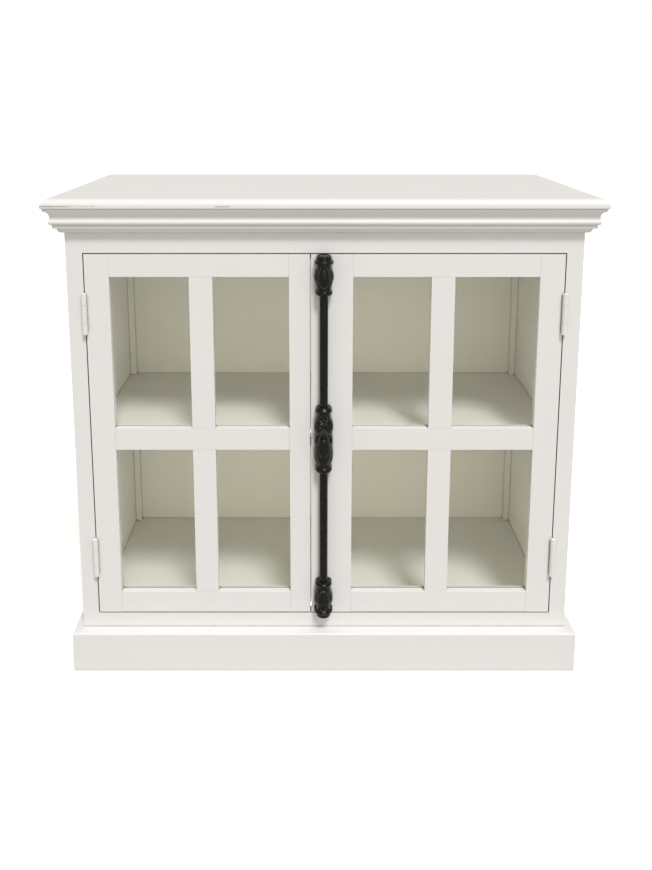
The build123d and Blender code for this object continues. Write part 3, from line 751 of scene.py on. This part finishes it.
def castingMesh(name, casting, base, towards):
    detail = castingDetail
    line = curveThrough(casting["outline"], 40)
    rings = int((line[-1][1] - line[0][1]) / detail["rings"])
    levels = np.linspace(line[0][1], line[-1][1], rings)
    radii = np.interp(levels, line[:, 1], line[:, 0])

    # the section goes round the front, back along one side, across the back and forward again
    reach = (faceY - boltY) / mm
    angles = np.linspace(-math.pi / 2, math.pi / 2, detail["around"])
    front = [(math.sin(a), -math.cos(a), 0.0, a) for a in angles]
    right = [(1.0, 0.0, reach * k / detail["side"], math.pi / 2) for k in range(1, detail["side"] + 1)]
    across = [(1 - 2 * k / detail["back"], 0.0, reach, 0.0) for k in range(1, detail["back"])]
    left = [(-x, y, back, -a) for x, y, back, a in reversed(right)]
    section = np.array(front + right + across + left)
    sheet = section[:, 3] * reliefRadius
    raised = np.ones(len(section))
    raised[detail["around"]:] = 0.0
    fade = np.clip(1 - section[:, 2] / (reach * 0.6), 0, 1)
    sides = (section[:, 2] > 0) & (np.abs(section[:, 3]) > 1)
    raised[sides] = fade[sides]

    places, heights = np.meshgrid(sheet, levels)
    relief, ridges = carving(casting, places, heights)
    relief *= raised

    corners = []
    for ring, radius in enumerate(radii):
        out = radius + relief[ring]
        for (x, y, back, angle), r in zip(section, out):
            corners.append((boltX + x * r * mm, boltY + (y * r + back) * mm,
                            base + towards * levels[ring] * mm))
    count = len(section)
    faces = []
    for ring in range(rings - 1):
        for k in range(count):
            following = (k + 1) % count
            faces.append((ring * count + k, ring * count + following,
                          (ring + 1) * count + following, (ring + 1) * count + k))
    faces.append(tuple(range(count)))
    faces.append(tuple(range((rings - 1) * count, rings * count)))
    mesh = bpy.data.meshes.new(name)
    mesh.from_pydata(corners, [], faces)
    shape = bmesh.new()
    shape.from_mesh(mesh)
    bmesh.ops.recalc_face_normals(shape, faces=shape.faces)
    shape.to_mesh(mesh)
    shape.free()
    return mesh


def bar(name, radius, low, high, direction="Z"):
    # a round cutter between two heights or two depths
    shape = bmesh.new()
    bmesh.ops.create_cone(
        shape, cap_ends=True, segments=64, radius1=radius, radius2=radius, depth=high - low)
    mesh = bpy.data.meshes.new(name)
    middle = (low + high) / 2
    if direction == "Z":
        place = Matrix.Translation((boltX, boltY, middle))
    else:
        place = Matrix.Translation((boltX, middle, knobZ)) @ Matrix.Rotation(math.pi / 2, 4, "X")
    bmesh.ops.transform(shape, matrix=place, verts=shape.verts)
    shape.to_mesh(mesh)
    shape.free()
    return addObject(name, mesh)


def block(name, halfWidth, front, back, low, high):
    shape = bmesh.new()
    bmesh.ops.create_cube(shape, size=1.0)
    size = Matrix.Diagonal((2 * halfWidth, back - front, high - low, 1))
    place = Matrix.Translation((boltX, (front + back) / 2, (low + high) / 2))
    bmesh.ops.transform(shape, matrix=place @ size, verts=shape.verts)
    mesh = bpy.data.meshes.new(name)
    shape.to_mesh(mesh)
    shape.free()
    return addObject(name, mesh)


def cutAway(piece, cutters):
    for cutter in cutters:
        modifier = piece.modifiers.new("cut", "BOOLEAN")
        modifier.operation = "DIFFERENCE"
        modifier.solver = "EXACT"
        modifier.object = cutter
    settle(piece, piece.name)
    for cutter in cutters:
        unused = cutter.data
        bpy.data.objects.remove(cutter)
        bpy.data.meshes.remove(unused)


def markRidges(mesh, casting, base, towards):
    # how far each point lies on a ridge, which wears bright and is also painted lighter as a highlight
    spots = np.empty(len(mesh.vertices) * 3)
    mesh.vertices.foreach_get("co", spots)
    x, y, z = spots.reshape(-1, 3).T
    angles = np.arctan2(x - boltX, np.maximum(boltY - y, 0.0) + 1e-9)
    levels = (z - base) * towards / mm
    ridges = carving(casting, angles * reliefRadius, levels)[1]
    ridges[y > boltY] = 0.0
    ridge = mesh.attributes.new("ridge", "FLOAT", "POINT")
    ridge.data.foreach_set("value", np.clip(ridges, 0, 1).astype(np.float32))


def addIron(piece, node, material):
    piece.data.shade_smooth()
    piece.data.set_sharp_from_angle(angle=math.radians(cuts["sharperThan"]))
    markSeed(piece.data, node)
    piece.data.materials.clear()
    piece.data.materials.append(material)
    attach(piece, bodyOf[node])
    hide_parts(node)


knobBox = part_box("bolt_knob")
knobZ = (knobBox[0].z + knobBox[1].z) / 2

# Rings from the knob's front to the end of its shaft: half width, half height, depth
# behind the front, all in millimetres.
knob = {
    "rings": [
        (0.9, 1.9, 0.02), (2.3, 4.6, 0.12), (4.0, 8.0, 0.55), (5.8, 11.2, 1.25), (7.4, 13.9, 2.25),
        (8.7, 16.0, 3.45), (9.6, 17.5, 4.7), (10.3, 18.5, 6.0), (10.6, 19.0, 7.3), (10.5, 18.9, 8.6),
        (9.9, 18.1, 9.7), (9.0, 16.9, 10.3), (7.6, 12.0, 10.45), (5.5, 5.5, 10.5), (5.5, 5.5, 12.6),
        (4.0, 4.0, 12.61), (4.0, 4.0, 25.79), (2.4, 2.4, 25.8), (2.4, 2.4, 31.9)],
    "around": 96,
    "rounded": 10,         # rings from the front that are joined by a smooth curve
    "halfWidth": 10.6,
    "carvedDepth": 7.0,
    "spine": 0.55,         # a rib down the knob's front
    "spineWidth": 2.0,
    "rim": 0.5,            # the groove inside its edge
    "rimPlace": 0.86,
    "rimWidth": 0.05,
}


def knobMesh(name):
    front = knobBox[0].y
    corners = [(boltX, front, knobZ)]
    rows = []
    shaped = curveThrough(knob["rings"][:knob["rounded"]], 5)
    rings = [tuple(ring) for ring in shaped] + knob["rings"][knob["rounded"]:]
    for halfWidth, halfHeight, depth in rings:
        row = []
        for k in range(knob["around"]):
            angle = 2 * math.pi * k / knob["around"]
            x = halfWidth * math.sin(angle)
            z = halfHeight * math.cos(angle)
            relief = 0.0
            if depth < knob["carvedDepth"]:
                share = halfWidth / knob["halfWidth"]
                fallen = 1 - math.exp(-(x / knob["spineWidth"]) ** 2)
                relief = knob["spine"] * fallen * (1 - share ** 4)
                groove = (share - knob["rimPlace"]) / knob["rimWidth"]
                relief += knob["rim"] * math.exp(-groove ** 2)
            row.append(len(corners))
            corners.append((boltX + x * mm, front + (depth + relief) * mm, knobZ + z * mm))
        rows.append(row)
    end = len(corners)
    corners.append((boltX, front + rings[-1][2] * mm, knobZ))
    faces = []
    count = knob["around"]
    for k in range(count):
        following = (k + 1) % count
        faces.append((0, rows[0][k], rows[0][following]))
        faces.append((end, rows[-1][following], rows[-1][k]))
        for inner, outer in zip(rows, rows[1:]):
            faces.append((inner[k], outer[k], outer[following], inner[following]))
    mesh = bpy.data.meshes.new(name)
    mesh.from_pydata(corners, [], faces)
    shape = bmesh.new()
    shape.from_mesh(mesh)
    bmesh.ops.recalc_face_normals(shape, faces=shape.faces)
    shape.to_mesh(mesh)
    shape.free()
    return mesh


def makeBolt(material):
    boreRadius = rodRadius + cuts["boreGap"] * mm
    slotHalf = cuts["slotHalf"] * mm
    guideBore = cuts["guideBore"] * mm
    slotLow = cuts["slotLow"] * mm
    windowHalf = cuts["windowHalf"] * mm
    for node, towards in (("bolt_top_guide", 1), ("bolt_bottom_guide", -1)):
        low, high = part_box(node)
        base = low.z if towards > 0 else high.z
        piece = addObject(node + "_cast", castingMesh(node, guideCasting, base, towards))
        ends = sorted((base - towards * mm, base + towards * guideBore))
        slotEnds = sorted((base + towards * slotLow, base + towards * guideBore))
        cutAway(piece, [
            bar("bore", boreRadius, ends[0], ends[1]),
            block("slot", slotHalf, boltY, faceY + mm, slotEnds[0], slotEnds[1])])
        markRidges(piece.data, guideCasting, base, towards)
        addIron(piece, node, material)
    low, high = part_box("bolt_centre_casting")
    piece = addObject("bolt_centre_casting_cast", castingMesh("centre", centreCasting, 0.0, 1))
    cutAway(piece, [
        bar("bore", boreRadius, low.z - mm, high.z + mm),
        bar("shaftHole", cuts["shaftHole"] * mm, knobBox[0].y, boltY, "Y"),
        block("window", windowHalf, boltY, faceY + mm, knobZ - windowHalf, knobZ + windowHalf)])
    markRidges(piece.data, centreCasting, 0.0, 1)
    addIron(piece, "bolt_centre_casting", material)
    piece = addObject("bolt_knob_cast", knobMesh("bolt_knob_cast"))
    addIron(piece, "bolt_knob", material)
    for node in ("bolt_upper_rod", "bolt_lower_rod"):
        easedPiece(node, material, 0.3 * mm)
    print("bolt castings, knob and rods made")


# Screws, set by Geometry Nodes at the places where the frame has them.
screwShape = {
    "headDepth": 2.4 * mm,
    "slotWidth": 0.9 * mm,
    "slotDepth": 0.9 * mm,
    "slotLength": 20 * mm,
    "tipRadius": 0.2 * mm,
    "overlap": 1.05,       # the shank reaches a little way up into the head
    "seed": 7,
    "headSides": 28,
    "shankSides": 20,
}


class NodeTree:
    # A Geometry Nodes tree being built: add() makes a node and links its sockets.
    def __init__(self, name):
        self.tree = bpy.data.node_groups.new(name, "GeometryNodeTree")
        self.tree.is_modifier = True

    def takes(self, name, kind, default=None):
        socket = self.tree.interface.new_socket(name, in_out="INPUT", socket_type=kind)
        if default is not None:
            socket.default_value = default
        return socket.identifier

    def add(self, kind, settings, inputs, output=0):
        node = self.tree.nodes.new(kind)
        for setting, value in settings.items():
            setattr(node, setting, value)
        for socket, value in inputs.items():
            feed(self.tree, node.inputs[socket], value)
        return Wire(self.tree, node.outputs[output])


def screwTree():
    g = NodeTree("slottedScrews")
    g.tree.interface.new_socket("Geometry", in_out="OUTPUT", socket_type="NodeSocketGeometry")
    g.takes("Geometry", "NodeSocketGeometry")
    names = {
        "headRadius": g.takes("headRadius", "NodeSocketFloat", 3.5 * mm),
        "shankRadius": g.takes("shankRadius", "NodeSocketFloat", 1.6 * mm),
        "length": g.takes("length", "NodeSocketFloat", 16 * mm),
        "finish": g.takes("finish", "NodeSocketMaterial"),
    }
    entry = g.tree.nodes.new("NodeGroupInput")
    given = {socket.name: Wire(g.tree, socket) for socket in entry.outputs if socket.name}
    look = screwShape
    head = g.add("GeometryNodeMeshCone", {}, {
        "Vertices": look["headSides"], "Radius Top": given["headRadius"],
        "Radius Bottom": given["shankRadius"], "Depth": look["headDepth"]}, "Mesh")
    # the screw points down its own Z axis, with its head's face at zero
    head = g.add("GeometryNodeTransform", {}, {
        "Geometry": head, "Translation": (0, 0, -look["headDepth"])})
    slot = g.add("GeometryNodeMeshCube", {}, {
        "Size": (look["slotLength"], look["slotWidth"], 2 * look["slotDepth"])}, "Mesh")
    head = g.add("GeometryNodeMeshBoolean", {"operation": "DIFFERENCE", "solver": "EXACT"}, {
        "Mesh 1": head, "Mesh 2": slot}, "Mesh")
    shankLength = given["length"] - look["headDepth"] * look["overlap"]
    shank = g.add("GeometryNodeMeshCone", {}, {
        "Vertices": look["shankSides"], "Radius Top": given["shankRadius"],
        "Radius Bottom": look["tipRadius"], "Depth": shankLength}, "Mesh")
    drop = g.add("ShaderNodeCombineXYZ", {}, {"Z": 0 - given["length"]})
    shank = g.add("GeometryNodeTransform", {}, {"Geometry": shank, "Translation": drop})
    both = g.tree.nodes.new("GeometryNodeJoinGeometry")
    g.tree.links.new(head.socket, both.inputs[0])
    g.tree.links.new(shank.socket, both.inputs[0])
    aim = g.add("GeometryNodeInputNamedAttribute", {"data_type": "FLOAT_VECTOR"}, {"Name": "aim"})
    aligned = g.add("FunctionNodeAlignRotationToVector", {"axis": "Z"}, {"Vector": aim})
    spin = g.add("FunctionNodeRandomValue", {"data_type": "FLOAT"}, {
        2: 0.0, 3: math.pi, "Seed": look["seed"]}, 1)
    turned = g.add("FunctionNodeAxisAngleToRotation", {}, {"Axis": (0, 0, 1), "Angle": spin})
    rotation = g.add("FunctionNodeRotateRotation", {"rotation_space": "LOCAL"}, {
        "Rotation": aligned, "Rotate By": turned})
    placed = g.add("GeometryNodeInstanceOnPoints", {}, {
        "Points": given["Geometry"], "Instance": Wire(g.tree, both.outputs[0]), "Rotation": rotation})
    real = g.add("GeometryNodeRealizeInstances", {}, {"Geometry": placed})
    finished = g.add("GeometryNodeSetMaterial", {}, {"Geometry": real, "Material": given["finish"]})
    leave = g.tree.nodes.new("NodeGroupOutput")
    g.tree.links.new(finished.socket, leave.inputs[0])
    return g.tree, names


def screwPlaces(node):
    # the head's middle, the way it faces, and the sizes of each solid in the node
    shape = bmesh.new()
    shape.from_mesh(frame["nodes"][node].data)
    bmesh.ops.remove_doubles(shape, verts=shape.verts, dist=easing["mergeReach"])
    waiting = set(shape.verts)
    places = []
    while waiting:
        island = [waiting.pop()]
        for vertex in island:
            for edge in vertex.link_edges:
                other = edge.other_vert(vertex)
                if other in waiting:
                    waiting.remove(other)
                    island.append(other)
        spots = np.array([tuple(vertex.co) for vertex in island])
        low, high = spots.min(axis=0), spots.max(axis=0)
        axis = int(np.argmax(high - low))
        middle = (low + high) / 2
        around = np.delete(spots - middle, axis, axis=1)
        radius = np.hypot(around[:, 0], around[:, 1])
        upper = spots[:, axis] > middle[axis]
        towards = 1.0 if radius[upper].max() > radius[~upper].max() else -1.0
        head = middle.copy()
        head[axis] = high[axis] if towards > 0 else low[axis]
        facing = np.zeros(3)
        facing[axis] = towards
        tip = radius[~upper if towards > 0 else upper]
        places.append((tuple(head), tuple(facing), radius.max(), tip.max(), (high - low)[axis]))
    shape.free()
    places.sort()
    return places


def makeScrews(material):
    tree, names = screwTree()
    for node in ("bolt_screws", "frame_screws", "left_door_screws", "right_door_screws"):
        places = screwPlaces(node)
        mesh = bpy.data.meshes.new(node)
        mesh.from_pydata([place[0] for place in places], [], [])
        aim = mesh.attributes.new("aim", "FLOAT_VECTOR", "POINT")
        aim.data.foreach_set("vector", [part for place in places for part in place[1]])
        piece = addObject(node + "_slotted", mesh)
        modifier = piece.modifiers.new("screws", "NODES")
        modifier.node_group = tree
        modifier[names["headRadius"]] = float(places[0][2])
        modifier[names["shankRadius"]] = float(places[0][3])
        modifier[names["length"]] = float(places[0][4])
        modifier[names["finish"]] = material
        settle(piece, node)
        markSeed(piece.data, node)
        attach(piece, bodyOf[node])
        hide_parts(node)
        print(node, len(places), "screws")


makeCamera()
makeLight()
makeFloor()
makeWood()
makeHinges()
dressCadNodes(glass("paneGlass"), ("left_door_glass", "right_door_glass"))
blackIron = iron("blackIron")
makeBolt(blackIron)
plainSteel = steel("plainSteel")
makeScrews(plainSteel)
dressCadNodes(plainSteel, ("bolt_pinion", "strike_plates"))

print("pieces made")
